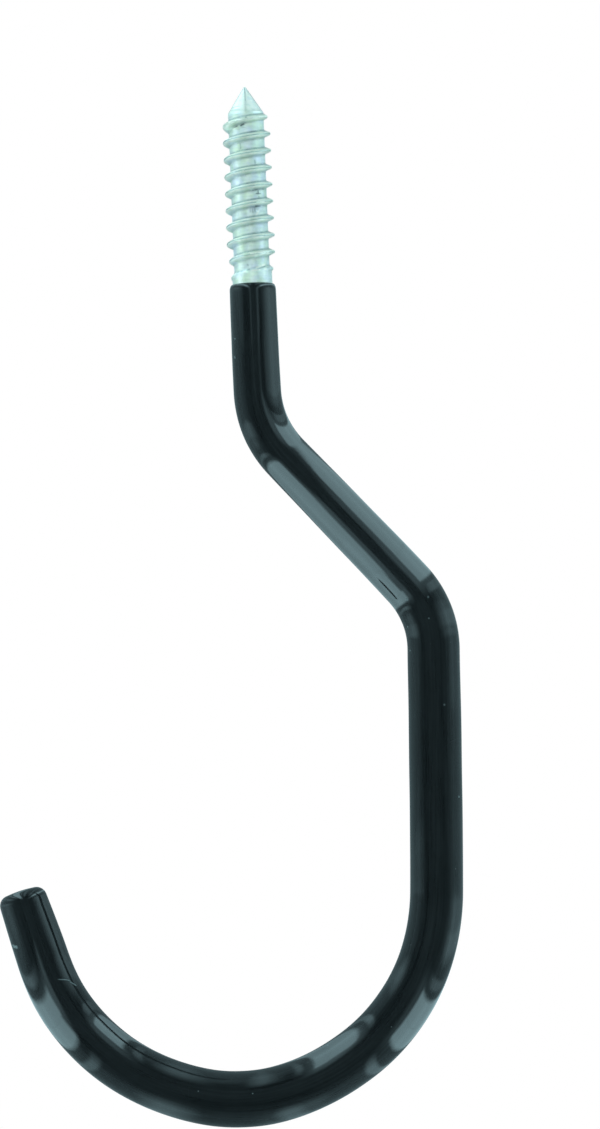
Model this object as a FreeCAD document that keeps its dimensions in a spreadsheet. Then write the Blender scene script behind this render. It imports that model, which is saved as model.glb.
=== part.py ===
import FreeCAD, Part
import math
import os
import Sketcher

# A garage utility hook, in millimetres: a round steel rod with a lag screw on its upper end,
# bent three times into a hook and dipped in vinyl up to the bare collar under the thread.
# The origin is on the screw's axis at the coating's top edge. +Z runs up to the screw's point,
# and the bent rod lies in the XZ plane.

SIZES = [
    # the bent rod, from the coating's top edge down and round to its end
    ("rod_diameter", 6.6, "plain steel rod"),
    ("upper_shank", 17.5, "straight run under the screw"),
    ("first_bend_radius", 17.2, "bend out of the screw's axis, at the rod's middle"),
    ("first_bend_angle", 41.4, "degrees"),
    ("diagonal_run", 29.1, "straight run that slants away from the screw"),
    ("second_bend_radius", 16.3, "bend back down"),
    ("second_bend_angle", 43.2, "degrees"),
    ("lower_shank", 39.9, "straight run above the hook"),
    ("hook_radius", 33.4, "the hook's arc, at the rod's middle"),
    ("hook_angle", 162, "degrees"),
    ("tip_run", 10.3, "straight steel past the arc"),
    # the screw end
    ("collar_height", 2.4, "bare rod between the coating and the screw's root"),
    ("collar_shoulder", 0.5, "slope from the rod down to the screw's root"),
    ("screw_length", 33.1, "coating's top edge to the point"),
    ("point_length", 4.4, "cone point"),
    ("point_flat", 0.3, "blunt end of the point, across"),
    ("root_drop", 0.35, "rod's surface down to the screw's root"),
    ("thread_depth", 1.02, "root to crest of the rolled thread"),
    ("thread_pitch", 2.82, "nine turns to the inch"),
    ("ridge_foot", 1.6, "thread ridge's width where it stands in the root"),
    ("ridge_crest", 0.36, "thread ridge's width at its crest"),
    ("ridge_sink", 0.2, "depth of the ridge's foot in the root"),
    ("thread_start", 1.15, "coating's top edge to the middle of the lowest turn"),
    ("thread_stop", 0.8, "middle of the highest turn to the cone"),
    ("lower_fade", 5.5, "length over which the thread rises from the collar"),
    ("lower_lip", 0.1, "thread's height above the collar at its lower end"),
    ("upper_fade", 3.6, "length over which the thread rises behind the cone"),
    ("upper_lip", 0.6, "thread's height above the root at the cone"),
    # the coating's wall, thin where it drained from and thick at the hook's lowest point
    ("coat_top_wall", 0.55, "at the top edge"),
    ("coat_slant_wall", 0.75, "at the start of the slanted run"),
    ("coat_elbow_wall", 0.96, "at the end of the slanted run"),
    ("coat_shank_wall", 1.02, "at the start of the hook's arc"),
    ("coat_belly_wall", 1.3, "at the hook's lowest point"),
    ("coat_rise_wall", 0.98, "at the end of the hook's arc"),
    ("coat_tip_wall", 0.85, "beside the rod's end"),
    ("coat_cap", 1.1, "over the rod's end face"),
    ("coat_top_round", 0.4, "rounding of the top edge"),
    ("coat_tip_round", 1.4, "rounding of the coated end"),
]
SIZE = {name: value for name, value, note in SIZES}

# The straight runs, and the bends between them with their turn: 1 to the left of the path, -1 to its right.
RUNS = ["upper_shank", "diagonal_run", "lower_shank", "tip_run"]
BENDS = [("first_bend", 1), ("second_bend", -1), ("hook", -1)]
NORMAL = FreeCAD.Vector(0, 0, 1)
# Sketch references: the origin's geometry and point, and an edge's points.
ORIGIN = (-1, 1)
START, END, MIDDLE = 1, 2, 3
# Points taken along an edge to tell whether it is a rim, and how far they may differ.
RIM_POINTS = 4
RIM_SLACK = 0.01

doc = FreeCAD.newDocument("garage_hook")


def make_sheet():
    """The driving dimensions, each with its name and a note."""
    sheet = doc.addObject("Spreadsheet::Sheet", "dims")
    for row, (name, value, note) in enumerate(SIZES, 1):
        sheet.set(f"A{row}", name)
        sheet.set(f"B{row}", str(value))
        sheet.setAlias(f"B{row}", name)
        sheet.set(f"C{row}", note)
    doc.recompute()


def new_body(label):
    body = doc.addObject("PartDesign::Body", label)
    body.Label = label
    return body


def plane_sketch(body, name):
    """A sketch on the plane that the rod is bent in, its x along X and its y along Z."""
    sketch = body.newObject("Sketcher::SketchObject", name)
    plane = [p for p in body.Origin.OriginFeatures if p.Role == "XZ_Plane"][0]
    sketch.AttachmentSupport = [(plane, "")]
    sketch.MapMode = "FlatFace"
    return sketch


def bind(sketch, constraint, name, expression):
    """Adds a dimension to a sketch, named and driven by an expression."""
    index = sketch.addConstraint(constraint)
    sketch.renameConstraint(index, name)
    sketch.setExpression(f"Constraints.{name}", expression)


def closed_outline(body, name, corners):
    """A closed outline whose corners are pairs of expressions, for x and z."""
    sketch = plane_sketch(body, name)
    count = len(corners)
    turns = [2 * math.pi * i / count for i in range(count)]
    rough = [FreeCAD.Vector(math.cos(turn), math.sin(turn), 0) for turn in turns]
    for i in range(count):
        sketch.addGeometry(Part.LineSegment(rough[i], rough[(i + 1) % count]))
    for i in range(count):
        sketch.addConstraint(Sketcher.Constraint("Coincident", i, END, (i + 1) % count, START))
    for i, (across, up) in enumerate(corners):
        side = Sketcher.Constraint("DistanceX", *ORIGIN, i, START, rough[i].x)
        bind(sketch, side, f"across_{i}", across)
        rise = Sketcher.Constraint("DistanceY", *ORIGIN, i, START, rough[i].y)
        bind(sketch, rise, f"up_{i}", up)
    return sketch


def rod_path(body, name, top, past_arc):
    """The rod's centre line: straight runs and tangent arcs, from top, a height on the screw's axis,
    to past_arc, a length after the hook's arc. Both are expressions."""
    sketch = plane_sketch(body, name)
    place = FreeCAD.Vector(0, 0, 0)
    heading = math.radians(-90)
    for i, run in enumerate(RUNS):
        ahead = FreeCAD.Vector(math.cos(heading), math.sin(heading), 0)
        sketch.addGeometry(Part.LineSegment(place, place + ahead * SIZE[run]))
        place = place + ahead * SIZE[run]
        if i == len(BENDS):
            break
        bend, side = BENDS[i]
        radius = SIZE[f"{bend}_radius"]
        swing = side * math.radians(SIZE[f"{bend}_angle"])
        inward = FreeCAD.Vector(-ahead.y, ahead.x, 0) * side
        centre = place + inward * radius
        first = math.atan2(-inward.y, -inward.x)
        circle = Part.Circle(centre, NORMAL, radius)
        sketch.addGeometry(Part.ArcOfCircle(circle, min(first, first + swing), max(first, first + swing)))
        reach = FreeCAD.Vector(math.cos(first + swing), math.sin(first + swing), 0)
        place = centre + reach * radius
        heading = heading + swing

    sketch.addConstraint(Sketcher.Constraint("DistanceX", *ORIGIN, 0, START, 0))
    sketch.addConstraint(Sketcher.Constraint("Vertical", 0))
    for i, (bend, side) in enumerate(BENDS):
        line, arc = 2 * i, 2 * i + 1
        enter, leave = (START, END) if side > 0 else (END, START)
        sketch.addConstraint(Sketcher.Constraint("Tangent", line, END, arc, enter))
        sketch.addConstraint(Sketcher.Constraint("Tangent", arc, leave, line + 2, START))
        radius = Sketcher.Constraint("Radius", arc, SIZE[f"{bend}_radius"])
        bind(sketch, radius, f"{bend}_radius", f"dims.{bend}_radius")
        angle = Sketcher.Constraint("Angle", arc, math.radians(SIZE[f"{bend}_angle"]))
        bind(sketch, angle, f"{bend}_angle", f"dims.{bend}_angle")
    bind(sketch, Sketcher.Constraint("DistanceY", *ORIGIN, 0, START, 0), "top", top)
    lengths = [f"dims.upper_shank + {top}", "dims.diagonal_run", "dims.lower_shank", past_arc]
    for i, (run, length) in enumerate(zip(RUNS, lengths)):
        bind(sketch, Sketcher.Constraint("Distance", 2 * i, SIZE[run]), run, length)
    return sketch


def round_section(body, name, path, edge, along, diameter):
    """A circle across the path, at a share of one of its edges."""
    sketch = body.newObject("Sketcher::SketchObject", name)
    sketch.AttachmentSupport = [(path, edge)]
    sketch.MapMode = "NormalToEdge"
    sketch.setExpression("MapPathParameter", along)
    sketch.addGeometry(Part.Circle(FreeCAD.Vector(0, 0, 0), NORMAL, SIZE["rod_diameter"] / 2))
    sketch.addConstraint(Sketcher.Constraint("Coincident", 0, MIDDLE, *ORIGIN))
    bind(sketch, Sketcher.Constraint("Diameter", 0, SIZE["rod_diameter"]), "diameter", diameter)
    return sketch


def pipe(body, kind, name, path, sections):
    """A solid or a cut carried along the path through its sections."""
    doc.recompute()
    feature = body.newObject(f"PartDesign::{kind}", name)
    feature.Profile = sections[0]
    feature.Spine = (path, [f"Edge{i + 1}" for i in range(len(path.Geometry))])
    if len(sections) > 1:
        feature.Transformation = "Multisection"
        feature.Sections = sections[1:]
    doc.recompute()
    return feature


def rim(shape, centre):
    """Names of the shape's edges that circle this centre."""
    names = []
    for i, edge in enumerate(shape.Edges, 1):
        reach = [point.distanceToPoint(centre) for point in edge.discretize(RIM_POINTS)]
        if max(reach) - min(reach) < RIM_SLACK and max(reach) < SIZE["rod_diameter"]:
            names.append(f"Edge{i}")
    return names


def turned(body, kind, name, outline):
    """An outline turned about the screw's axis."""
    feature = body.newObject(f"PartDesign::{kind}", name)
    feature.Profile = outline
    feature.ReferenceAxis = (outline, ["V_Axis"])
    feature.Angle = 360
    doc.recompute()
    return feature


def steel_hook():
    """The bent rod, with the screw's blank turned on it and a thread wound round that."""
    body = new_body("steel_hook")
    path = rod_path(body, "rod_path", "dims.collar_height", "dims.tip_run")
    section = round_section(body, "rod_section", path, "Edge1", "0", "dims.rod_diameter")
    pipe(body, "AdditivePipe", "rod", path, [section])

    rod = "dims.rod_diameter / 2"
    root = f"({rod} - dims.root_drop)"
    crest = f"({root} + dims.thread_depth)"
    cone = "(dims.screw_length - dims.point_length)"
    blank = closed_outline(body, "blank_outline", [
        ("0", "dims.collar_height"),
        (rod, "dims.collar_height"),
        (root, "dims.collar_height + dims.collar_shoulder"),
        (root, cone),
        ("dims.point_flat / 2", "dims.screw_length"),
        ("0", "dims.screw_length"),
    ])
    turned(body, "Revolution", "screw_blank", blank)

    foot = f"({root} - dims.ridge_sink)"
    ridge = closed_outline(body, "ridge_outline", [
        (f"-{foot}", "dims.thread_start - dims.ridge_foot / 2"),
        (f"-{crest}", "dims.thread_start - dims.ridge_crest / 2"),
        (f"-{crest}", "dims.thread_start + dims.ridge_crest / 2"),
        (f"-{foot}", "dims.thread_start + dims.ridge_foot / 2"),
    ])
    thread = body.newObject("PartDesign::AdditiveHelix", "thread")
    thread.Profile = ridge
    thread.ReferenceAxis = (ridge, ["V_Axis"])
    thread.Mode = "pitch-height-angle"
    thread.setExpression("Pitch", "dims.thread_pitch")
    thread.setExpression("Height", f"{cone} - dims.thread_stop - dims.thread_start")
    doc.recompute()

    # at both ends the thread is cut down to a cone, whose slope runs on to twice the crest's radius
    clear = f"2 * {crest}"
    fades = [
        ("lower_fade", f"({rod} + dims.lower_lip)", "dims.thread_start - dims.ridge_foot / 2", "+"),
        ("upper_fade", f"({root} + dims.upper_lip)", cone, "-"),
    ]
    for name, lip, level, sense in fades:
        rise = f"dims.{name} * ({clear} - {lip}) / ({crest} - {lip})"
        outline = closed_outline(body, f"{name}_outline", [
            (lip, level),
            (clear, level),
            (clear, f"{level} {sense} {rise}"),
        ])
        turned(body, "Groove", name, outline)
    return body


def vinyl_coating():
    """The dipped skin: a tube that thickens down to the hook's belly, closed over the rod's end."""
    body = new_body("vinyl_coating")
    path = rod_path(body, "coat_path", "0", "dims.tip_run + dims.coat_cap")
    doc.recompute()
    to_belly = "(90 + dims.first_bend_angle - dims.second_bend_angle) / dims.hook_angle"
    stations = [
        ("coat_top", "Edge1", "0"),
        ("coat_slant", "Edge3", "0"),
        ("coat_elbow", "Edge3", "1"),
        ("coat_shank", "Edge5", "1"),
        ("coat_belly", "Edge6", f"1 - {to_belly}"),
        ("coat_rise", "Edge7", "0"),
        ("coat_tip", "Edge7", "1"),
    ]
    sections = [
        round_section(body, f"{name}_section", path, edge, along, f"dims.rod_diameter + 2 * dims.{name}_wall")
        for name, edge, along in stations
    ]
    pipe(body, "AdditivePipe", "outside", path, sections)

    # both rims of the dip are round, and the top one is narrower than its wall
    rims = [
        ("top_rim", path.Shape.Vertexes[0], "min(dims.coat_top_round; 0.9 * dims.coat_top_wall)"),
        ("tip_rim", path.Shape.Vertexes[-1], "dims.coat_tip_round"),
    ]
    for name, end, rounding in rims:
        base = body.Tip
        fillet = body.newObject("PartDesign::Fillet", name)
        fillet.Base = (base, rim(base.Shape, end.Point))
        fillet.setExpression("Radius", rounding)
        doc.recompute()

    bore_path = rod_path(body, "bore_path", "dims.collar_height", "dims.tip_run")
    bore_section = round_section(body, "bore_section", bore_path, "Edge1", "0", "dims.rod_diameter")
    pipe(body, "SubtractivePipe", "bore", bore_path, [bore_section])
    return body


def check(bodies):
    """Stops if a feature failed, or if a body isn't one sound solid."""
    for feature in doc.Objects:
        if "Invalid" in feature.State or "Error" in feature.State:
            raise RuntimeError(f"{feature.Name} failed: {feature.State}")
    for body in bodies:
        if body.Shape.isNull() or not body.Shape.isValid() or len(body.Shape.Solids) != 1:
            raise RuntimeError(f"{body.Label} is not one sound solid")


make_sheet()
bodies = [steel_hook(), vinyl_coating()]
doc.recompute()
check(bodies)
os.makedirs("parts", exist_ok=True)
for body in bodies:
    body.Shape.exportStep(f"parts/{body.Label}.step")
    print(body.Label, round(body.Shape.Volume), "mm3")
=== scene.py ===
import bpy
import numpy as np
from mathutils import Matrix, Vector


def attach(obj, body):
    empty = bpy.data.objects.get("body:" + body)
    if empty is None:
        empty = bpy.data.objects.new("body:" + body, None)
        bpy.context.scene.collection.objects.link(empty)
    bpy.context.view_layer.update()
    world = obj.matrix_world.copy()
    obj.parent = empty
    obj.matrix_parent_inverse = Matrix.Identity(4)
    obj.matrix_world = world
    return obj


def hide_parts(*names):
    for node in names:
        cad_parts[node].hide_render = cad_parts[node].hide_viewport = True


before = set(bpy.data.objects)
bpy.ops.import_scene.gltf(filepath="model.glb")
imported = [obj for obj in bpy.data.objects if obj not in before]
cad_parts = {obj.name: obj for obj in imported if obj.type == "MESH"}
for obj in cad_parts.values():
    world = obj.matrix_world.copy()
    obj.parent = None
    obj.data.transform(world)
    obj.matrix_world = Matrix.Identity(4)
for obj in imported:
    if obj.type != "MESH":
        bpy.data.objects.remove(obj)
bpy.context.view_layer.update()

mm = 0.001
scene = bpy.context.scene
print("frame loaded:", ", ".join(sorted(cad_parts)))


# The rod's middle line, in mm and degrees, from the coating's top edge down and round to the end.
rodBend = {
    "runs": (17.5, 29.1, 39.9, 10.3),  # straight runs
    "radii": (17.2, 16.3, 33.4),  # bends between them
    "turns": (41.4, -43.2, -162.0),  # left of the way down is plus
    "radius": 3.3,
    # how far the bent rod wanders to the left of those arcs, by distance down it
    "wander": (
        (0, 0), (12, 0), (18, 0.11), (24, 0), (34, 0.05), (45, 0.06), (60, 0.04), (67, -0.07),
        (71, -0.15), (78, -0.08), (88, 0), (105, 0), (114, -0.1), (121, -0.1), (136, -0.05), (144, -0.1),
        (151, 0.04), (155, 0.17), (159, 0.36), (166, 0.34), (170, 0.18), (174, 0.07), (181, 0),
        (192, 0.05), (199, 0.02), (205, -0.1), (211, -0.08), (216, 0.0),
    ),
    "wanderReach": 4.0,
}
bendLengths = [r * np.radians(abs(t)) for r, t in zip(rodBend["radii"], rodBend["turns"])]
rodEnd = sum(rodBend["runs"]) + sum(bendLengths)


def softened(at, knots, values, reach):
    # Straight lines between the knots, averaged over a bell of this reach, which rounds their corners.
    steps = np.linspace(-1.0, 1.0, 15)
    weights = (1 - steps**2) ** 2
    samples = np.interp(at[..., None] + reach * steps, knots, values)
    return (samples * weights).sum(-1) / weights.sum()


def rodLine(along):
    # Each straight run adds its length along the heading, and each bend adds an arc about its own
    # centre: radius times the change in sine and cosine of the heading. Above the top edge the line is
    # the screw's axis. The wander is added square to the heading.
    x, z = np.zeros_like(along), -np.minimum(along, 0.0)
    heading = np.full_like(along, -np.pi / 2)
    start, base = 0.0, -np.pi / 2
    bends = zip(rodBend["runs"], rodBend["radii"] + (0,), rodBend["turns"] + (0,))
    for run, radius, turn in bends:
        reach = np.clip(along - start, 0.0, run if radius else None)
        x, z = x + reach * np.cos(base), z + reach * np.sin(base)
        start += run
        if radius:
            full, side = np.radians(turn), np.sign(turn)
            length = radius * abs(full)
            swing = full * np.clip((along - start) / length, 0.0, 1.0)
            x = x + side * radius * (np.sin(base + swing) - np.sin(base))
            z = z + side * radius * (np.cos(base) - np.cos(base + swing))
            heading, base, start = heading + swing, base + full, start + length
    wander = softened(along, *zip(*rodBend["wander"]), rodBend["wanderReach"])
    return x - wander * np.sin(heading), z + wander * np.cos(heading), heading


def sweep(along, radius, around):
    # A ring of this radius stands square to the rod's line at each place along it. The angle around
    # starts on the left of the way down and turns through the front.
    x, z, heading = rodLine(along)
    side, front = radius * np.cos(around), radius * np.sin(around)
    ring = np.broadcast_arrays(x - side * np.sin(heading), -front, z + side * np.cos(heading))
    return np.stack(ring, axis=-1) * mm


def ringQuads(rows, cols):
    # Each point joins its neighbour on the ring and the two beside them on the next ring.
    i, j = np.meshgrid(np.arange(rows - 1), np.arange(cols), indexing="ij")
    here, beside = i * cols + j, i * cols + (j + 1) % cols
    return i, j, np.stack([here, beside, beside + cols, here + cols], -1).reshape(-1, 4)


def addPiece(name, mesh):
    piece = bpy.data.objects.new(name, mesh)
    scene.collection.objects.link(piece)
    print(name, len(mesh.polygons), "faces")
    return piece


def gridPiece(name, points, share, poles, sharpAngle):
    # Rows of points closed round each ring, with a fan to one point at both ends. The map has the share
    # around the ring across and the share of the length up.
    rows, cols = points.shape[:2]
    i, j, quads = ringQuads(rows, cols)
    ring, after = np.arange(cols), (np.arange(cols) + 1) % cols
    last = (rows - 1) * cols
    fans = np.concatenate([
        np.stack([np.full(cols, rows * cols), after, ring], -1),
        np.stack([np.full(cols, rows * cols + 1), last + ring, last + after], -1),
    ])
    across = np.stack([j, j + 1, j + 1, j], -1).reshape(-1) / cols
    up = np.stack([share[i], share[i], share[i + 1], share[i + 1]], -1).reshape(-1)
    fanAcross = np.concatenate([
        np.stack([ring + 0.5, ring + 1, ring], -1), np.stack([ring + 0.5, ring, ring + 1], -1)
    ]).reshape(-1) / cols
    fanUp = np.repeat([share[0], share[-1]], 3 * cols)

    mesh = bpy.data.meshes.new(name)
    corners = np.concatenate([points.reshape(-1, 3), np.array(poles)])
    mesh.from_pydata(corners.tolist(), [], quads.tolist() + fans.tolist())
    uv = np.stack([np.concatenate([across, fanAcross]), np.concatenate([up, fanUp])], -1)
    mesh.uv_layers.new(name="rodMap").data.foreach_set("uv", uv.astype(np.float32).ravel())
    mesh.polygons.foreach_set("use_smooth", np.ones(len(mesh.polygons), dtype=bool))
    mesh.set_sharp_from_angle(angle=np.radians(sharpAngle))
    mesh.update()
    return addPiece(name, mesh)


def writeLevel(piece, name, values, ends):
    # One number for each point of the grid, then for the points at its two ends.
    level = piece.data.attributes.new(name, "FLOAT", "POINT")
    level.data.foreach_set("value", np.append(values.ravel(), ends).astype(np.float32))


# The steel: point, rolled thread and collar on the bent rod. Heights in mm above the coat's top edge.
steel = {
    "point": 33.1,
    "pointFlat": 0.12,
    "pointGap": (0.06, 0.02),  # first ring under the point's height, and the tip over it
    "coneBase": 28.7,
    "rootRadius": 2.95,
    "shoulder": (2.25, 1.95),  # the root meets the collar between these heights
    "shoulderLean": 0.34,  # higher on the right, lower on the left
    "shoulderWear": 0.06,
    "shoulderLine": (0.05, 0.12, 0.3),  # dark line on the shoulder: height over it, width, share
    "rim": (0.15, 0.5),  # painted highlight along the collar's edge: width, share
    # how much the painted highlight on the collar varies round it
    "collarHighlightMottle": 0.4,
    "cornerReach": 0.22,
    "pitch": 2.82,
    "threadStart": 1.15,  # the lowest turn's middle, on the left
    "depth": 1.02,
    "foot": 1.32,
    "crest": 0.40,
    "rounding": 0.035,
    "footRounding": 6,  # how much sharper the thread's foot is than its crest
    "fullness": 1.1,  # makes up for the height that the rounding takes
    "bareFrom": 0.4,  # the rod is plain below this height
    "rise": (  # thread's height by turn, as a share
        (-0.24, 0.0), (-0.08, 0.5), (0.03, 0.5), (0.12, 0.3), (0.36, 0.3), (0.46, 0.55), (1.0, 0.72),
        (1.5, 0.93), (2.0, 1.0), (8.4, 1.0), (9.0, 0.92), (9.4, 0.74), (9.52, 0.6), (9.57, 0.0),
    ),
    # the last turn is a torn lip: how far its lower side is drawn out, by turn
    "lip": ((8.5, 1.0), (8.85, 1.8), (9.04, 1.8), (9.16, 0.8), (9.6, 0.8)),
    # painted highlight along the torn lip: distance from the ridge's middle, width, strength; from this
    # turn up
    "lipPaintedHighlight": (0.08, 0.32, 0.75),
    "lipPaintedHighlightFrom": 8.9,
    "lipRidge": (8.7, 2.6),  # from this turn up the film is greener, by this much
    "plainRidge": 0.3,  # ridge level of the rod and the point
    "endRidge": (0.8, 0.3),
    "unevenness": 0.035,
    "around": 160,
    "coneRows": 48,
    "screwStep": 0.07,
    "screwEnd": 0.6,  # the fine rings end this far under the coat's edge, and the rod's start
    "rodStart": 1.0,
    "rodStep": 1.4,
    "flat": 0.28,  # how far the rolling dies left the point's four faces flat
    "flatBlend": 0.4,
    "sharp": 62,
    # painted shade lines and painted highlight lines along the ridge: distance from its middle, width,
    # strength
    "paintedShadeLines": ((0.62, 0.17, 1.0), (-0.70, 0.21, 0.55), (0.0, 0.11, 0.9)),
    "paintedHighlightLines": ((0.27, 0.13, 1.0), (-0.27, 0.14, 1.0)),
    "wholePaintedHighlight": (0.08, 0.9),  # painted highlight over the whole collar and point
    # marks on the front, painted shade and bruises, then painted highlights: from (x, height) to (x,
    # height), width, strength
    "paintedShadeAndBruiseMarks": (
        # painted shade along the point's edges and the dies' lines
        (0.0, 32.9, 0.0, 30.6, 0.10, 0.9), (0.0, 30.6, 0.0, 28.9, 0.28, 0.4),
        (-2.85, 28.8, -0.2, 32.95, 0.11, 0.8), (2.85, 28.8, 0.2, 32.95, 0.11, 0.8),
        (-2.4, 29.62, -1.0, 29.62, 0.09, 0.7), (-2.4, 29.12, -1.0, 29.12, 0.09, 0.7),
        # painted shade under the last turn
        (-2.1, 26.05, -1.5, 26.25, 0.13, 1.0), (-0.85, 26.3, -0.4, 26.5, 0.16, 1.0),
        (-1.1, 23.4, -1.05, 22.5, 0.10, 0.8), (1.2, 20.4, 1.25, 19.9, 0.12, 0.8),
        # the bruises
        (0.65, 15.4, 2.4, 15.65, 0.14, 1.0), (1.55, 15.4, 1.55, 14.8, 0.10, 1.0),
        (1.2, 14.85, 1.9, 14.85, 0.08, 1.0), (1.05, 12.7, 1.75, 12.75, 0.15, 1.0),
        (0.1, 12.5, 0.15, 11.8, 0.07, 0.8), (0.5, 12.5, 0.55, 11.7, 0.07, 0.8),
        (0.85, 12.4, 0.9, 11.8, 0.07, 0.8),
        # painted shade along the crests, and round the collar's shoulder
        (1.3, 13.52, 2.5, 13.56, 0.06, 0.6), (-1.3, 10.2, -0.3, 10.25, 0.07, 0.9),
        (0.9, 7.86, 1.9, 7.96, 0.07, 0.8), (0.6, 5.1, 2.2, 5.22, 0.06, 0.7),
        (-0.6, 5.1, -0.35, 5.2, 0.14, 1.0), (-0.7, 3.05, -0.62, 2.95, 0.14, 0.9),
        (1.0, 2.22, 2.2, 2.72, 0.13, 1.0),
    ),
    # painted highlights: thin glints along the crests, on the point and round the shoulder
    "paintedHighlightMarks": (
        (0.8, 2.5, 2.1, 3.02, 0.14, 1.0), (-2.4, 29.37, -1.0, 29.37, 0.12, 1.0),
        (1.15, 11.4, 1.6, 12.1, 0.17, 1.0), (1.3, 13.72, 2.5, 13.76, 0.10, 1.0),
        (1.3, 13.33, 2.5, 13.37, 0.10, 1.0), (-1.3, 10.5, -0.4, 10.6, 0.09, 1.0),
        (0.3, 7.45, 2.1, 7.55, 0.10, 1.0), (-0.1, 4.75, 2.9, 5.02, 0.10, 1.0),
        (-1.6, 18.3, -0.7, 18.6, 0.09, 1.0),
    ),
}


def bell(off, width):
    return np.exp(-((off / width) ** 2))


def markLevel(x, height, marks):
    # Strength of each straight mark by a bell of the distance to it, where marks overlap the strongest.
    level = np.zeros_like(x)
    for x0, h0, x1, h1, width, strength in marks:
        dx, dh = x1 - x0, h1 - h0
        share = np.clip(((x - x0) * dx + (height - h0) * dh) / (dx * dx + dh * dh), 0, 1)
        gap = np.hypot(x - x0 - share * dx, height - h0 - share * dh)
        level = np.maximum(level, strength * bell(gap, width))
    return level


def lineLevel(off, lines):
    return sum(strength * bell(off - at, width) for at, width, strength in lines)


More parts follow.
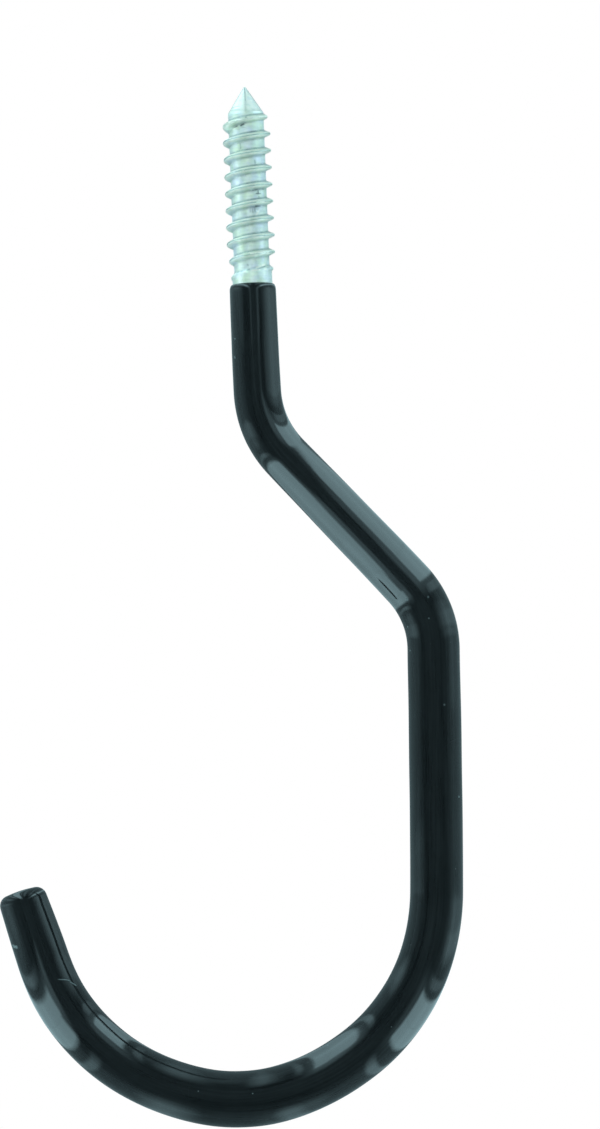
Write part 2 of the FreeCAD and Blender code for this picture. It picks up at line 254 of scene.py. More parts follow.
def buildSteel():
    # Radius of the blank plus the thread's ridge. The ridge's middle climbs one pitch a turn,
    # right-handed, and its height falls with the distance from that middle: a flat crest, straight
    # flanks and rounded corners.
    st = steel
    low, high = st["shoulder"][1], st["shoulder"][0]
    under, over = st["pointGap"]
    cone = np.linspace(-st["point"] + under, -st["coneBase"], st["coneRows"])
    screw = np.arange(-st["coneBase"] + st["screwStep"], st["screwEnd"], st["screwStep"])
    rod = np.arange(st["rodStart"], rodEnd, st["rodStep"])
    along = np.concatenate([cone, screw, rod, [rodEnd]])[:, None]
    around = np.linspace(0, 2 * np.pi, st["around"], endpoint=False)[None, :]
    height = np.broadcast_to(-along, (along.shape[0], st["around"]))

    deepDown = -400
    knots = [deepDown, low, high, st["coneBase"], st["point"]]
    values = [rodBend["radius"], rodBend["radius"], st["rootRadius"], st["rootRadius"], st["pointFlat"]]
    worn = np.sin(7 * around + 1.0) * np.sin(3 * around + 0.4) + 0.6 * np.sin(17 * around)
    lean = st["shoulderLean"] * np.cos(around) + st["shoulderWear"] * worn
    level = np.where(height < st["coneBase"] / 2, height - lean, height)
    blank = softened(level, knots, values, st["cornerReach"])

    turn = np.mod(-around / (2 * np.pi) - 0.5, 1.0)  # from the left side, through the front
    climb = (height - st["threadStart"]) / st["pitch"] - turn
    nearest = np.floor(climb + 0.5)
    turns = nearest + turn
    off = (climb - nearest) * st["pitch"]
    off = off + st["unevenness"] * np.sin(turns * 9.7) * np.sin(turns * 4.3 + 1.0)
    off = np.where(off < 0, off / np.interp(turns, *zip(*st["lip"])), off)
    rise = np.interp(turns, *zip(*st["rise"]), left=0.0, right=0.0)
    rise = rise * (1 + st["unevenness"] * np.sin(turns * 13.0 + 2.0))
    flank = (st["foot"] / 2 - np.abs(off)) / (st["foot"] / 2 - st["crest"] / 2)
    crestSoft, footSoft = st["rounding"], st["rounding"] / st["footRounding"]
    topped = 0.5 * (flank + 1 - np.sqrt((flank - 1) ** 2 + crestSoft))  # smooth minimum with the crest
    ridge = 0.5 * (topped + np.sqrt(topped**2 + footSoft))  # smooth maximum with the root
    rootLevel = 0.5 * np.sqrt(footSoft)
    ridge = np.maximum(ridge - rootLevel, 0) * rise * st["depth"] * st["fullness"]
    plain = height < st["bareFrom"]
    onPoint = height > st["coneBase"]
    radius = np.maximum(blank, st["rootRadius"] + ridge)
    radius = np.where(onPoint, blank + ridge, radius)
    radius = np.where(plain, rodBend["radius"], radius)
    blend = st["flatBlend"]
    onCone = np.clip((height - st["coneBase"] + blend) / (2 * blend), 0, 1)
    facet = np.cos(np.mod(around, np.pi / 2) - np.pi / 4)  # faces meet in an edge down the front
    radius = radius * (1 - onCone * st["flat"] * (1 - np.cos(np.pi / 4) / facet))

    points = sweep(along, radius, around)
    top = (0, 0, (st["point"] + over) * mm)
    x, z, _ = rodLine(np.array([rodEnd]))
    bottom = (x[0] * mm, 0, z[0] * mm)
    share = (along[:, 0] + st["point"]) / (rodEnd + st["point"])
    piece = gridPiece("zincSteelHook", points, share, (top, bottom), st["sharp"])

    lipFrom, lipFactor = st["lipRidge"]
    crest = np.clip((radius - st["rootRadius"]) / st["depth"], 0, 1)
    crest = crest * np.where(turns > lipFrom, lipFactor, 1.0)
    crest = np.where(plain | onPoint, st["plainRidge"], crest)
    front = np.sin(around) > 0
    x = radius * np.cos(around)
    # Painted shade: dark lines along each ridge and the dark marks on the front, of which the bruises are
    # real marks; the dark line just over the shoulder joins them.
    paintedShadeAndMarks = lineLevel(off, st["paintedShadeLines"]) * rise * (level > low)
    paintedShadeAndMarks = np.maximum(paintedShadeAndMarks, front * markLevel(x, height, st["paintedShadeAndBruiseMarks"]))
    # a dark line just over the shoulder, broken up by the sine pattern, added to the same dark level
    shoulderLineUp, shoulderLineWidth, shoulderLineShare = st["shoulderLine"]
    shoulderDarkLine = bell(level - high - shoulderLineUp, shoulderLineWidth) * np.clip(shoulderLineShare - worn, 0, 1)
    paintedShadeAndMarks = np.maximum(paintedShadeAndMarks, shoulderDarkLine)
    # Painted highlights: lines along the crest's edges, on the torn lip, along the collar's edge, over
    # the whole collar and point, and the bright marks on the front.
    paintedHighlight = lineLevel(off, st["paintedHighlightLines"]) * rise * (level > high)
    lip = lineLevel(off, (st["lipPaintedHighlight"],)) * (turns > st["lipPaintedHighlightFrom"]) * (rise > 0)
    rimWidth, rimShare = st["rim"]
    rim = bell(level - low, rimWidth) * np.clip(rimShare + worn, 0, 1)
    mottle = 1 + st["collarHighlightMottle"] * np.sin(9 * around) * np.sin(5 * around + 2)
    collarHighlightShare, coneHighlightShare = st["wholePaintedHighlight"]
    collar = collarHighlightShare * (level < low) * mottle
    conePaintedHighlight = coneHighlightShare * onCone * (1 - np.clip(paintedShadeAndMarks, 0, 1))
    bright = front * markLevel(x, height, st["paintedHighlightMarks"])
    for more in (lip, rim, collar, conePaintedHighlight, bright):
        paintedHighlight = np.maximum(paintedHighlight, more)
    writeLevel(piece, "ridgeLevel", crest, st["endRidge"])
    writeLevel(piece, "paintedHighlightLevel", paintedHighlight, (0.0, 0.0))
    writeLevel(piece, "paintedShadeAndMarkLevel", paintedShadeAndMarks, (0.0, 0.0))
    return piece


# The dipped coating: a closed sleeve on the rod, in mm. Wall by distance down from its top edge.
coat = {
    "wall": (
        (0, 0.53), (17.5, 0.65), (29.9, 0.80), (59.0, 1.03), (71.3, 1.04), (111.2, 1.07), (162.6, 1.36),
        (194.0, 1.13), (205.7, 1.02), (210.5, 0.99), (217.1, 0.55),
    ),
    "wallReach": 9.0,
    "topRound": 0.40,  # how far the round top edge draws in, and how far down it reaches
    "topReach": 1.0,
    "cap": 1.3,
    "tipRound": 1.75,
    "dome": 0.14,
    "ripple": 0.012,
    "rippleFade": 6.0,  # it dies away over this length at both ends
    "thinWall": 0.3,  # and where the wall is thinner than this
    # a shallow run of thinner vinyl on the inside of the front: degrees round the rod, reach, depth in
    # mm, and share of that depth by distance down
    "run": (137.5, 8.6, 0.06),
    "runShare": ((40, 0), (47, 1), (62, 1), (66, 0), (160, 0), (172, 1), (216, 1)),
    "around": 112,
    "edgeRings": 11,
    "capRings": 9,
    "sharp": 62,
    "step": 0.55,
    "boreStep": 2.2,
}


def buildCoat():
    # One profile of distance along the rod and radius, turned round the rod's line: up the bore, over
    # the round top edge, down the outside and over the round tip. A slow ripple, three sines of the
    # distance whose phase turns with the angle, keeps the outside from being a true tube.
    ct = coat
    end = rodEnd + ct["cap"]
    bore = np.arange(rodEnd, 0, -ct["boreStep"])
    outside = np.arange(ct["topReach"], end - ct["tipRound"], ct["step"])
    knots, walls = zip(*ct["wall"])
    outRadius = rodBend["radius"] + softened(outside, knots, walls, ct["wallReach"])

    quarter = np.linspace(0, np.pi / 2, ct["edgeRings"])
    topAlong = ct["topReach"] * (1 - np.sin(quarter))
    topRadius = outRadius[0] - ct["topRound"] * (1 - np.cos(quarter))
    tipAlong = end - ct["tipRound"] * (1 - np.sin(quarter))
    tipRadius = outRadius[-1] - ct["tipRound"] * (1 - np.cos(quarter))
    capRadius = tipRadius[-1] * np.linspace(1, 0, ct["capRings"])[1:-1]
    capAlong = end + ct["dome"] * (1 - (capRadius / tipRadius[-1]) ** 2)

    along = np.concatenate([bore, [0.0], topAlong[::-1][:-1], outside, tipAlong, capAlong])[:, None]
    boreRadius = np.full(len(bore) + 1, rodBend["radius"])
    radius = np.concatenate([boreRadius, topRadius[::-1][:-1], outRadius, tipRadius, capRadius])[:, None]
    around = np.linspace(0, 2 * np.pi, ct["around"], endpoint=False)[None, :]
    ripple = np.sin(along / 4.1 + 1.2 * np.cos(around))
    ripple = ripple + np.sin(along / 2.3 + np.sin(around + 0.7) * 2.0 + 2.0)
    ripple = ripple + np.sin(along / 7.7 + 2 * np.cos(2 * around + 0.4))
    outer = radius > rodBend["radius"] + ct["thinWall"]
    outer = outer & (np.arange(len(along))[:, None] > len(bore))
    fade = np.clip(along / ct["rippleFade"], 0, 1) * np.clip((end - along) / ct["rippleFade"], 0, 1)
    radius = radius + ct["ripple"] * ripple * fade * outer
    turn, reach, depth = ct["run"]
    run = bell(np.degrees(around) - turn, reach * np.sqrt(2)) * np.interp(along, *zip(*ct["runShare"]))
    radius = radius - depth * run * outer

    points = sweep(along, radius, around)
    x, z, _ = rodLine(np.array([rodEnd, end + ct["dome"]]))
    poles = [(x[0] * mm, 0, z[0] * mm), (x[1] * mm, 0, z[1] * mm)]
    share = along[:, 0] / (end + ct["dome"])
    return gridPiece("vinylCoat", points, share, poles, ct["sharp"])


steelHook = buildSteel()
vinylCoat = buildCoat()
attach(steelHook, "root")
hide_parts("steel_hook")
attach(vinylCoat, "root")
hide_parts("vinyl_coating")


def place(tree, kind, inputs=None, **settings):
    # Adds a node, sets it, and feeds each input from a socket or a plain value.
    node = tree.nodes.new("ShaderNode" + kind)
    for key, value in settings.items():
        setattr(node, key, value)
    for key, value in (inputs or {}).items():
        if isinstance(value, bpy.types.NodeSocket):
            tree.links.new(value, node.inputs[key])
        else:
            node.inputs[key].default_value = value
    return node


def calc(tree, operation, a, b):
    return place(tree, "Math", {0: a, 1: b}, operation=operation).outputs[0]


def ramp(tree, value, start, end, low=0.0, high=1.0):
    # Carries a value from start to low and from end to high, and no further.
    return place(tree, "MapRange", {0: value, 1: start, 2: end, 3: low, 4: high}).outputs[0]


def blendValue(tree, share, under, over):
    return place(tree, "Mix", {0: share, 2: under, 3: over}).outputs[0]


def blendColour(tree, mask, under, over):
    return place(tree, "Mix", {0: mask, 6: under, 7: over}, data_type="RGBA").outputs[2]


def floats(*names):
    return [(name, "Float") for name in names]


def newGroup(name, inputs, outputs):
    tree = bpy.data.node_groups.new(name, "ShaderNodeTree")
    for label, kind in inputs:
        tree.interface.new_socket(name=label, in_out="INPUT", socket_type="NodeSocket" + kind)
    for label, kind in outputs:
        tree.interface.new_socket(name=label, in_out="OUTPUT", socket_type="NodeSocket" + kind)
    return tree, tree.nodes.new("NodeGroupInput").outputs, tree.nodes.new("NodeGroupOutput").inputs


def speckGroup():
    # Round specks in a share of random cells, with a soft rim.
    inputs = [("Vector", "Vector")] + floats("Scale", "Size", "Share")
    tree, given, out = newGroup("specks", inputs, floats("Mask"))
    cells = place(tree, "TexVoronoi", {"Vector": given["Vector"], "Scale": given["Scale"]})
    chosen = place(tree, "SeparateColor", {0: cells.outputs["Color"]})
    small = calc(tree, "MULTIPLY", given["Size"], chosen.outputs["Green"])
    dot = ramp(tree, cells.outputs["Distance"], small, 0.0)
    pick = calc(tree, "LESS_THAN", chosen.outputs["Red"], given["Share"])
    tree.links.new(calc(tree, "MULTIPLY", dot, pick), out["Mask"])
    return tree


def grainGroup():
    # Coarse and fine noise mixed, as a height and as a slow mottle.
    fineShare, dullest, brightest = 0.4, 0.3, 0.7
    inputs = [("Vector", "Vector")] + floats("Coarse", "Fine")
    tree, given, out = newGroup("grain", inputs, floats("Height", "Mottle"))
    spot = given["Vector"]
    coarse = place(tree, "TexNoise", {"Vector": spot, "Scale": given["Coarse"], "Detail": 3.0}).outputs[0]
    fine = place(tree, "TexNoise", {"Vector": spot, "Scale": given["Fine"], "Detail": 2.0}).outputs[0]
    tree.links.new(blendValue(tree, fineShare, coarse, fine), out["Height"])
    tree.links.new(ramp(tree, coarse, dullest, brightest), out["Mottle"])
    return tree


def scuffGroup():
    # Thin curved lines where a warped cell pattern has its borders, kept only in patches.
    warpReach, patchScale = 4 * mm, 1.7
    inputs = [("Vector", "Vector")] + floats("Scale", "Width", "Share")
    tree, given, out = newGroup("scuffs", inputs, floats("Mask"))
    spot, scale = given["Vector"], given["Scale"]
    warp = place(tree, "TexNoise", {"Vector": spot, "Scale": scale, "Detail": 1.0})
    push = place(tree, "VectorMath", {0: warp.outputs["Color"], "Scale": warpReach}, operation="SCALE")
    moved = place(tree, "VectorMath", {0: spot, 1: push.outputs[0]}, operation="ADD").outputs[0]
    border = place(tree, "TexVoronoi", {"Vector": moved, "Scale": scale}, feature="DISTANCE_TO_EDGE")
    line = ramp(tree, border.outputs["Distance"], given["Width"], 0.0)
    patch = place(tree, "TexNoise", {"Vector": spot, "Scale": calc(tree, "MULTIPLY", scale, patchScale)})
    keep = ramp(tree, patch.outputs[0], calc(tree, "SUBTRACT", 1.0, given["Share"]), 1.0)
    tree.links.new(calc(tree, "MULTIPLY", line, keep), out["Mask"])
    return tree


specks, grain, scuffs = speckGroup(), grainGroup(), scuffGroup()


def use(tree, group, **inputs):
    return place(tree, "Group", inputs, node_tree=group).outputs


def newMaterial(name):
    material = bpy.data.materials.new(name)
    material.use_nodes = True
    tree = material.node_tree
    tree.nodes.clear()
    shader = place(tree, "BsdfPrincipled")
    place(tree, "OutputMaterial", {"Surface": shader.outputs[0]})
    return material, tree, shader


def finishLook(tree, shader, colour, rough, bump):
    for socket, value in (("Base Color", colour), ("Roughness", rough), ("Normal", bump.outputs[0])):
        tree.links.new(value, shader.inputs[socket])


vinylLook = {
    "black": (0.0092, 0.0104, 0.0110, 1),
    "smudge": (0.0235, 0.0250, 0.0260, 1),
    "dust": (0.32, 0.36, 0.36, 1),
    "gloss": (0.03, 0.06),  # roughness of clean and smudged places
    "bump": (0.25, 0.04 * mm),  # strength and depth
    "ior": 1.5,
    "streaks": (11.0, 33.0, 1.6),  # coarse and fine round the rod, and lengths of a streak on it
    "streakShare": (0.65, 0.5),  # in the colour and in the height, the rest is the skin's grain
    "skin": (160.0, 900.0),  # coarse and fine
    "specks": {"Scale": 560.0, "Size": 0.19, "Share": 0.13},
    "lint": {"Scale": 240.0, "Size": 0.11, "Share": 0.15},
    "scuffs": {"Scale": 130.0, "Width": 0.006, "Share": 0.45},
    "scuffShow": 0.10,
    "paleShow": (0.6, 0.4),  # how far pale marks show in the colour and roughen
    # nicks: mm down the rod, degrees round it, half length, half width in mm, lean in degrees, strength
    "nicks": ((200.8, 120.0, 1.25, 0.11, 60.0, 0.9), (199.5, 136.0, 0.85, 0.14, 35.0, 0.75),
              (208.9, 31.0, 0.85, 0.34, 70.0, 1.0)),
    "nickRadius": 4.2,  # of the coat where the nicks are
    "nickSoft": (0.7, 0.4),  # share of half length and half width that is full
}


def nickGroup():
    # A short straight mark on the rod: how far a place is from its middle, along it and across it, both
    # cut off softly.
    names = ("Along", "Round", "At", "Turn", "Half", "Width", "Lean")
    tree, given, out = newGroup("nick", floats(*names), floats("Mask"))
    fullLength, fullWidth = vinylLook["nickSoft"]
    down = calc(tree, "SUBTRACT", given["Along"], given["At"])
    turned = calc(tree, "SUBTRACT", given["Round"], given["Turn"])
    aside = calc(tree, "MULTIPLY", turned, np.radians(vinylLook["nickRadius"]))
    lean = calc(tree, "RADIANS", given["Lean"], 0.0)
    cosine, sine = calc(tree, "COSINE", lean, 0.0), calc(tree, "SINE", lean, 0.0)
    length = calc(tree, "MULTIPLY", down, cosine)
    length = calc(tree, "SUBTRACT", length, calc(tree, "MULTIPLY", aside, sine))
    across = calc(tree, "MULTIPLY", down, sine)
    across = calc(tree, "ADD", across, calc(tree, "MULTIPLY", aside, cosine))
    length, across = calc(tree, "ABSOLUTE", length, 0.0), calc(tree, "ABSOLUTE", across, 0.0)
    inside = ramp(tree, length, given["Half"], calc(tree, "MULTIPLY", given["Half"], fullLength))
    close = ramp(tree, across, given["Width"], calc(tree, "MULTIPLY", given["Width"], fullWidth))
    tree.links.new(calc(tree, "MULTIPLY", inside, close), out["Mask"])
    return tree


def vinylMaterial():
    # Streaks from the dip run down the rod: noise drawn out along it, on a ring so that it has no seam.
    look = vinylLook
    material, tree, shader = newMaterial("glossyBlackVinyl")
    spot = place(tree, "TexCoord").outputs["Object"]
    share = place(tree, "SeparateXYZ", {0: place(tree, "UVMap", uv_map="rodMap").outputs[0]}).outputs
    turn = calc(tree, "MULTIPLY", share["X"], 2 * np.pi)
    coarse, fine, lengths = look["streaks"]
    ring = place(tree, "CombineXYZ", {
        0: calc(tree, "COSINE", turn, 0.0),
        1: calc(tree, "SINE", turn, 0.0),
        2: calc(tree, "MULTIPLY", share["Y"], lengths),
    }).outputs[0]
    streak = use(tree, grain, Vector=ring, Coarse=coarse, Fine=fine)
    skin = use(tree, grain, Vector=spot, Coarse=look["skin"][0], Fine=look["skin"][1])
    dust = use(tree, specks, Vector=spot, **look["specks"])["Mask"]
    lint = use(tree, specks, Vector=spot, **look["lint"])["Mask"]
    lines = use(tree, scuffs, Vector=spot, **look["scuffs"])["Mask"]
    pale = calc(tree, "MAXIMUM", dust, lint)
    pale = calc(tree, "MAXIMUM", pale, calc(tree, "MULTIPLY", lines, look["scuffShow"]))
    nick = nickGroup()
    along = calc(tree, "MULTIPLY", share["Y"], rodEnd + coat["cap"] + coat["dome"])
    degrees = calc(tree, "MULTIPLY", share["X"], 360.0)
    for at, turned, half, width, lean, strength in look["nicks"]:
        shape = dict(At=at, Turn=turned, Half=half, Width=width, Lean=lean)
        mark = use(tree, nick, Along=along, Round=degrees, **shape)["Mask"]
        pale = calc(tree, "MAXIMUM", pale, calc(tree, "MULTIPLY", mark, strength))
    inColour, inHeight = look["streakShare"]
    uneven = blendValue(tree, inColour, skin["Mottle"], streak["Mottle"])
    black = blendColour(tree, uneven, look["black"], look["smudge"])
    show, roughen = look["paleShow"]
    colour = blendColour(tree, calc(tree, "MULTIPLY", pale, show), black, look["dust"])
    rough = ramp(tree, uneven, 0.0, 1.0, *look["gloss"])
    rough = calc(tree, "ADD", rough, calc(tree, "MULTIPLY", pale, roughen))
    height = blendValue(tree, inHeight, skin["Height"], streak["Height"])
    strength, depth = look["bump"]
    bump = place(tree, "Bump", {"Strength": strength, "Distance": depth, "Height": height})
    finishLook(tree, shader, colour, rough, bump)
    shader.inputs["IOR"].default_value = look["ior"]
    return material


zincLook = {
    "bright": (0.98, 0.97, 0.90, 1),
    "dull": (0.50, 0.52, 0.50, 1),
    "green": (0.76, 0.88, 0.62, 1),
    "blue": (0.80, 0.83, 1.0, 1),
    # colour of the painted shade and of the dark marks on the front
    "paintedShadeAndMarks": (0.23, 0.29, 0.29, 1),
    "dark": (0.03, 0.045, 0.05, 1),
    # colour of the painted highlights
    "paintedHighlight": (1.0, 0.93, 0.83, 1),
    "roughness": (0.56, 0.32),  # of dull and bright places
    "bump": (0.9, 0.12 * mm),  # strength and depth
    "metal": 0.5,
    "skin": (1500.0, 5200.0),  # coarse and fine
    "tint": (560.0, 1300.0),
    "rolled": (1100.0, 3600.0),
    "drawn": (0.32, 0.32, 2.2),  # the rolled lines are long round the screw and thin along it
    "rolledShare": (0.6, 0.65),  # in the colour and in the height, the rest is the skin's grain
    "pits": {"Scale": 620.0, "Size": 0.24, "Share": 0.05},
    "scuffs": {"Scale": 500.0, "Width": 0.02, "Share": 0.5},
    "ridgeGreen": 0.35,
    "filmShow": 0.55,
    "paintedShadeBreak": (0.35, 0.6, 0.4, 0.95),  # the skin's grain, from and to, breaks up the painted shade and the painted highlights
    "paintedHighlightBreak": (0.42, 0.54, 0.45, 1.0),
    "fleckBand": (0.48, 0.53),
    "fleckShow": 0.35,
    "scuffShow": 0.4,
    "darkShow": 0.9,
    # bruises left by handling: place on the front in mm, and reach
    "bruises": (
        (1.6, 15.0, 0.6), (1.2, 12.3, 0.6), (-1.75, 26.1, 0.6), (-0.6, 26.3, 0.5), (1.2, 24.6, 0.5),
    ),
    "bruiseEdge": (2.0, 0.3),  # shares of the reach where a bruise starts and is full
}


def zincMaterial():
    # Fine lines from rolling run round the screw. The plating's film is blue in the root and green on the
    # ridge, painted highlights run along the crest's edges, and painted shade darkens the creases.
    look = zincLook
    material, tree, shader = newMaterial("brightZincPlate")
    spot = place(tree, "TexCoord").outputs["Object"]
    drawn = place(tree, "VectorMath", {0: spot, 1: look["drawn"]}, operation="MULTIPLY").outputs[0]
    skin, tint, rolled = [
        use(tree, grain, Vector=at, Coarse=look[name][0], Fine=look[name][1])
        for name, at in (("skin", spot), ("tint", spot), ("rolled", drawn))
    ]
    pits = use(tree, specks, Vector=spot, **look["pits"])["Mask"]
    lines = use(tree, scuffs, Vector=spot, **look["scuffs"])["Mask"]
    ridge, paintedShadeAndMarks, paintedHighlight = [
        place(tree, "Attribute", attribute_name=name).outputs["Fac"]
        for name in ("ridgeLevel", "paintedShadeAndMarkLevel", "paintedHighlightLevel")
    ]
    inColour, inHeight = look["rolledShare"]
    mottle = blendValue(tree, inColour, skin["Mottle"], rolled["Mottle"])
    colour = blendColour(tree, mottle, look["dull"], look["bright"])
    film = calc(tree, "SUBTRACT", tint["Mottle"], calc(tree, "MULTIPLY", ridge, look["ridgeGreen"]))
    film = blendColour(tree, film, look["green"], look["blue"])
    colour = blendColour(tree, look["filmShow"], colour, film)
    # painted shade in the creases and painted highlights along the crests, broken up by the skin's grain
    paintedShadeBreakup = ramp(tree, skin["Height"], *look["paintedShadeBreak"])
    colour = blendColour(tree, calc(tree, "MULTIPLY", paintedShadeAndMarks, paintedShadeBreakup), colour, look["paintedShadeAndMarks"])
    broken = ramp(tree, skin["Height"], *look["paintedHighlightBreak"])
    colour = blendColour(tree, calc(tree, "MULTIPLY", paintedHighlight, broken), colour, look["paintedHighlight"])
    bruise = 0.0
    outside, full = look["bruiseEdge"]
    for x, z, reach in look["bruises"]:
        middle = (x * mm, -steel["rootRadius"] * mm, z * mm)
        gap = place(tree, "VectorMath", {0: spot, 1: middle}, operation="DISTANCE").outputs["Value"]
        near = ramp(tree, gap, outside * reach * mm, full * reach * mm)
        bruise = calc(tree, "MAXIMUM", bruise, near)
    fleck = ramp(tree, rolled["Height"], *look["fleckBand"])
    fleck = calc(tree, "MAXIMUM", calc(tree, "MULTIPLY", fleck, look["fleckShow"]), paintedShadeAndMarks)
    dark = calc(tree, "MAXIMUM", pits, calc(tree, "MULTIPLY", lines, look["scuffShow"]))
    dark = calc(tree, "MAXIMUM", dark, calc(tree, "MULTIPLY", bruise, fleck))
    colour = blendColour(tree, calc(tree, "MULTIPLY", dark, look["darkShow"]), colour, look["dark"])
    rough = ramp(tree, mottle, 0.0, 1.0, *look["roughness"])
    height = blendValue(tree, inHeight, skin["Height"], rolled["Height"])
    strength, depth = look["bump"]
    bump = place(tree, "Bump", {"Strength": strength, "Distance": depth, "Height": height})
    finishLook(tree, shader, colour, rough, bump)
    shader.inputs["Metallic"].default_value = look["metal"]
    return material


vinylCoat.data.materials.append(vinylMaterial())
steelHook.data.materials.append(zincMaterial())
print("materials done")


# Floor: a pale disc well under the hook, which hangs as it does from a joist.
floorSet = {
    "height": -0.62,
    "radius": (0.02, 2.4),  # of its first and last ring
    "rings": (40, 96),  # rings, and points on each
    "pale": (0.80, 0.81, 0.81, 1),
    "roughness": 0.8,
    "lift": 0.55,
}


def buildFloor():
    # Rings of points at even steps out from the middle.
    rows, cols = floorSet["rings"]
    out = np.linspace(*floorSet["radius"], rows)[:, None]
    turn = np.linspace(0, 2 * np.pi, cols, endpoint=False)[None, :]
    level = np.full((rows, cols), floorSet["height"])
    flat = np.stack([out * np.cos(-turn), out * np.sin(-turn), level], -1)
    quads = ringQuads(rows, cols)[2]
    mesh = bpy.data.meshes.new("paleFloor")
    mesh.from_pydata(flat.reshape(-1, 3).tolist(), [], quads.tolist() + [list(range(cols))])
    floor = addPiece("paleFloor", mesh)
    material, tree, shader = newMaterial("paleFloor")
    shader.inputs["Base Color"].default_value = floorSet["pale"]
    shader.inputs["Roughness"].default_value = floorSet["roughness"]
    seen = place(tree, "LightPath").outputs["Is Camera Ray"]
    shader.inputs["Emission Color"].default_value = (1, 1, 1, 1)
    tree.links.new(calc(tree, "MULTIPLY", seen, floorSet["lift"]), shader.inputs["Emission Strength"])
    below = place(tree, "NewGeometry").outputs["Backfacing"]
    tree.links.new(calc(tree, "SUBTRACT", 1.0, below), shader.inputs["Alpha"])  # clear from below
    mesh.materials.append(material)
    # the low soft boxes shine through it
    floor.visible_glossy = floor.visible_diffuse = floor.visible_shadow = False
    return floor


buildFloor()


# Studio: a light tent about the hook's middle. Soft boxes stand round the lens axis at its four
# corners, each with a thin strip of stray light at both sides, and dim panels stand between them.
# Angles are in degrees: middle round the axis from the right through the top, half width, soft edge;
# brightness; and the angle off the lens axis where the light starts, with the angle over which it
# comes up.
tent = {
    "middle": (-0.007, 0.0, -0.053),
    "radius": 0.34,
    "rings": (50, 96),
    "sharp": 180,  # smooth all over
    "tint": (0.60, 0.92, 1.0),
    "boxes": [
        # right top, left top, left bottom and right bottom corner, two lamps to a box
        (38.8, 2.5, 1.7, 4.1, 42, 9), (44.5, 2.8, 1.9, 4.0, 43, 9),
        (122.0, 3.1, 1.8, 3.9, 29, 12), (128.9, 3.5, 2.4, 4.1, 32, 12),
        (216.3, 3.2, 2.6, 4.3, 29, 14), (222.8, 2.8, 1.8, 4.4, 36, 14),
        (311.8, 2.8, 1.8, 4.5, 42, 10), (318.3, 3.2, 1.8, 4.4, 42, 10),
        # their spill towards the lens
        (40.0, 4.0, 9.0, 1.12, 18, 12), (126.0, 5.0, 9.0, 1.5, 12, 20),
        (217.5, 4.0, 6.5, 1.15, 12, 10), (315.0, 5.0, 9.0, 0.65, 16, 20),
        # strips of stray light beside the corners
        (30.8, 1.8, 1.4, 1.4, 40, 30), (53.3, 1.1, 1.7, 1.25, 34, 34),
        (112.3, 0.8, 1.7, 1.4, 28, 36), (139.4, 1.1, 1.8, 2.2, 36, 40),
        (206.8, 0.8, 1.8, 1.65, 40, 40), (231.9, 0.8, 1.6, 1.75, 40, 36),
        (301.0, 0.9, 1.5, 2.4, 44, 38), (326.6, 1.0, 1.7, 1.3, 44, 30),
        # dim panels
        (14.2, 2.8, 6.0, 1.5, 34, 46), (20.0, 1.0, 6.0, 1.0, 36, 44), (7.5, 1.0, 4.0, 1.15, 38, 42),
        (1.5, 3.0, 5.0, 0.72, 56, 28), (68.8, 1.8, 11.0, 1.3, 32, 34), (99.9, 1.1, 8.0, 1.42, 32, 24),
        (157.8, 1.4, 9.0, 1.5, 46, 34), (189.4, 3.4, 5.0, 1.36, 46, 34), (197.0, 2.0, 8.0, 0.95, 54, 26),
        (250.8, 1.2, 9.0, 1.72, 52, 34), (282.0, 1.2, 5.5, 1.85, 60, 24), (287.0, 1.0, 9.0, 0.95, 58, 24),
        (337.6, 1.6, 6.5, 1.68, 58, 26), (344.0, 3.0, 6.0, 1.22, 56, 28),
    ],
    "fade": (
        (0, 1), (86, 1), (93, 0.94), (102, 0.75), (117, 0.54), (132, 0.38), (150, 0.26), (180, 0.12),
    ),
    "wall": 0.46,  # the tent's cloth between the panels, by angle off the axis below
    "wallFade": (
        (0, 0.3), (20, 0.26), (36, 0.06), (48, 0.18), (60, 0.34), (72, 0.78), (84, 1), (117, 1),
        (140, 0.9), (180, 0.4),
    ),
    # dark strips of the cloth: middle round the axis, half width, soft edge, depth, and where they
    # start and end off the axis
    "flags": ((265.5, 6.0, 4.0, 0.35, 10, 175),),
    "flagEdge": 2.5,
    "room": 0.42,  # white room outside the tent, which lights the floor
}


def boxGroup():
    # A box's level: its brightness times how far inside its width and past its start a direction is,
    # both 0 to 1.
    names = ("Turn", "Off", "Middle", "Half", "Edge", "Bright", "Start", "Rise")
    tree, given, out = newGroup("softBox", floats(*names), floats("Level"))
    gap = calc(tree, "SUBTRACT", given["Turn"], given["Middle"])
    gap = place(tree, "Math", {0: gap, 1: 180.0, 2: -180.0}, operation="WRAP").outputs[0]
    gap = calc(tree, "ABSOLUTE", gap, 0.0)
    outer = calc(tree, "ADD", given["Half"], given["Edge"])
    within = ramp(tree, gap, outer, given["Half"])
    full = calc(tree, "ADD", given["Start"], given["Rise"])
    past = ramp(tree, given["Off"], given["Start"], full)
    level = calc(tree, "MULTIPLY", calc(tree, "MULTIPLY", within, past), given["Bright"])
    tree.links.new(level, out["Level"])
    return tree


def curve(tree, at, knots):
    # A straight-lined curve through knots of degrees off the axis and share.
    node = place(tree, "FloatCurve", {1: calc(tree, "DIVIDE", at, 180.0)})
    line = node.mapping.curves[0]
    knots = np.array(knots, dtype=float) / (180.0, 1.0)
    for x, y in knots[1:-1]:
        line.points.new(x, y)
    line.points[0].location, line.points[-1].location = knots[0], knots[-1]
    for point in line.points:
        point.handle_type = "VECTOR"
    node.mapping.update()
    return node.outputs[0]


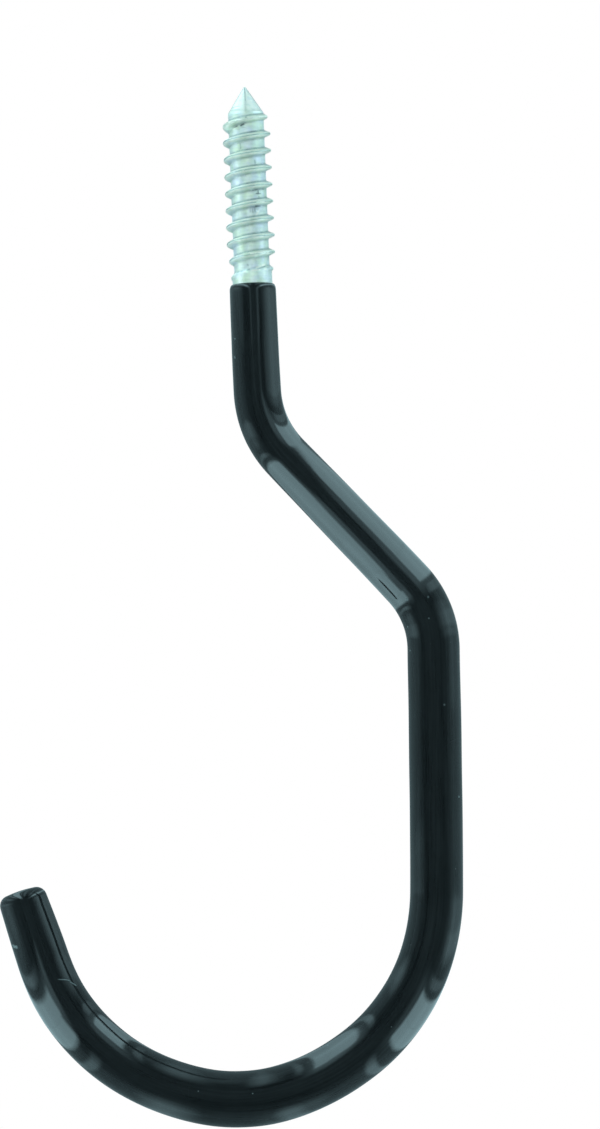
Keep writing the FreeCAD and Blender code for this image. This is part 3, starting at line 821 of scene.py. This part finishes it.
def tentMaterial():
    # The brightest box at each direction from the tent's middle, faded behind the hook, and the cloth
    # between.
    material = bpy.data.materials.new("tentLight")
    material.use_nodes = True
    tree = material.node_tree
    tree.nodes.clear()
    spot = place(tree, "TexCoord").outputs["Object"]
    way = place(tree, "VectorMath", {0: spot, 1: tent["middle"]}, operation="SUBTRACT").outputs[0]
    way = place(tree, "VectorMath", {0: way}, operation="NORMALIZE").outputs[0]
    way = place(tree, "SeparateXYZ", {0: way}).outputs
    turn = calc(tree, "DEGREES", calc(tree, "ARCTAN2", way["Z"], way["X"]), 0.0)
    towards = calc(tree, "MULTIPLY", way["Y"], -1.0)
    off = calc(tree, "DEGREES", calc(tree, "ARCCOSINE", towards, 0.0), 0.0)
    softBox = boxGroup()
    level = 0.0
    for middle, half, edge, bright, start, rise in tent["boxes"]:
        shape = dict(Middle=middle, Half=half, Edge=edge, Bright=bright, Start=start, Rise=rise)
        box = use(tree, softBox, Turn=turn, Off=off, **shape)
        level = calc(tree, "MAXIMUM", level, box["Level"])
    level = calc(tree, "MULTIPLY", level, curve(tree, off, tent["fade"]))
    wall = calc(tree, "MULTIPLY", curve(tree, off, tent["wallFade"]), tent["wall"])
    level = calc(tree, "MAXIMUM", level, wall)
    for middle, half, edge, depth, start, end in tent["flags"]:
        shape = dict(Middle=middle, Half=half, Edge=edge, Bright=depth, Rise=tent["flagEdge"])
        near = use(tree, softBox, Turn=turn, Off=off, Start=start, **shape)
        far = use(tree, softBox, Turn=turn, Off=off, Start=end, **shape)
        shade = calc(tree, "SUBTRACT", far["Level"], near["Level"])
        level = calc(tree, "MULTIPLY", level, calc(tree, "ADD", shade, 1.0))
    inside = calc(tree, "SUBTRACT", 1.0, place(tree, "NewGeometry").outputs["Backfacing"])
    level = calc(tree, "MULTIPLY", level, inside)
    colour = place(tree, "VectorMath", {0: tent["tint"], "Scale": level}, operation="SCALE").outputs[0]
    glow = place(tree, "Emission", {"Color": colour})
    place(tree, "OutputMaterial", {"Surface": glow.outputs[0]})
    return material


def buildTent():
    # A sphere: rings of points by angle from the top, each turned round, facing inwards.
    rows, cols = tent["rings"]
    down = np.linspace(0, np.pi, rows)[1:-1, None]
    turn = np.linspace(0, 2 * np.pi, cols, endpoint=False)[None, :]
    way = [np.sin(down) * np.cos(turn), np.sin(down) * np.sin(turn), np.cos(down)]
    way = np.stack(np.broadcast_arrays(*way), -1)
    middle = np.array(tent["middle"])
    ends = [middle + (0, 0, tent["radius"]), middle - (0, 0, tent["radius"])]
    points = middle + tent["radius"] * way
    piece = gridPiece("lightTent", points, down[:, 0] / np.pi, ends, tent["sharp"])
    piece.data.materials.append(tentMaterial())
    piece.visible_camera = False
    return piece


buildTent()


# Lamps: a soft disc at each side of the screw and a weak one before it, which light the bare steel alone.
screwLamps = {
    # place, watts
    "lamps": (((-0.31, -0.09, 0.06), 0.49), ((0.31, -0.09, 0.05), 0.66), ((0.0, -0.30, 0.07), 0.29)),
    "aim": (0.0, 0.0, 0.021),
    "width": 0.26,
    "tint": (0.81, 0.98, 0.92),
}


def buildLamps():
    lit = bpy.data.collections.new("litSteel")
    lit.objects.link(steelHook)
    for spot, watts in screwLamps["lamps"]:
        data = bpy.data.lights.new("screwLamp", "AREA")
        data.shape, data.size = "DISK", screwLamps["width"]
        data.energy, data.color = watts, screwLamps["tint"]
        lamp = bpy.data.objects.new("screwLamp", data)
        scene.collection.objects.link(lamp)
        lamp.location = spot
        towards = Vector(screwLamps["aim"]) - lamp.location
        lamp.rotation_euler = towards.to_track_quat("-Z", "Y").to_euler()
        lamp.light_linking.receiver_collection = lit


buildLamps()


def buildRoom():
    # White where the camera looks past the hook, and plain light outside the tent.
    world = bpy.data.worlds.new("whiteRoom")
    world.use_nodes = True
    tree = world.node_tree
    tree.nodes.clear()
    seen = place(tree, "LightPath").outputs["Is Camera Ray"]
    level = ramp(tree, seen, 0.0, 1.0, tent["room"], 1.0)
    glow = place(tree, "Background", {"Color": (1, 1, 1, 1), "Strength": level})
    place(tree, "OutputWorld", {"Surface": glow.outputs[0]})
    scene.world = world


buildRoom()
scene.view_settings.view_transform = "Standard"
scene.view_settings.look = "None"
print("light set")


# Camera: below the hook's middle and looking a little up, and rolled as the photograph is.
view = {
    "target": (0.005977, 0.0, -0.046841),
    "distance": 1.0,
    "rise": -3.8,  # degrees above the hook's level
    "roll": -2.329,
    "focal": 6041.7,  # in pixels of the picture
    "picture": (600, 1129),
    "sensor": 36.0,
}


def buildCamera():
    rise, roll = np.radians(view["rise"]), np.radians(view["roll"])
    ahead = Vector((0, np.cos(rise), -np.sin(rise)))
    right = ahead.cross(Vector((0, 0, 1))).normalized()
    up = right.cross(ahead)
    rolledRight = right * np.cos(roll) + up * np.sin(roll)
    rolledUp = up * np.cos(roll) - right * np.sin(roll)
    data = bpy.data.cameras.new("photoCamera")
    data.sensor_fit = "VERTICAL"
    data.sensor_height = view["sensor"]
    data.lens = view["focal"] * view["sensor"] / view["picture"][1]
    data.clip_start, data.clip_end = 0.01, 50.0
    camera = bpy.data.objects.new("photoCamera", data)
    scene.collection.objects.link(camera)
    camera.matrix_world = Matrix((rolledRight, rolledUp, -ahead)).transposed().to_4x4()
    camera.matrix_world.translation = Vector(view["target"]) - ahead * view["distance"]
    scene.camera = camera


buildCamera()
print("camera set")
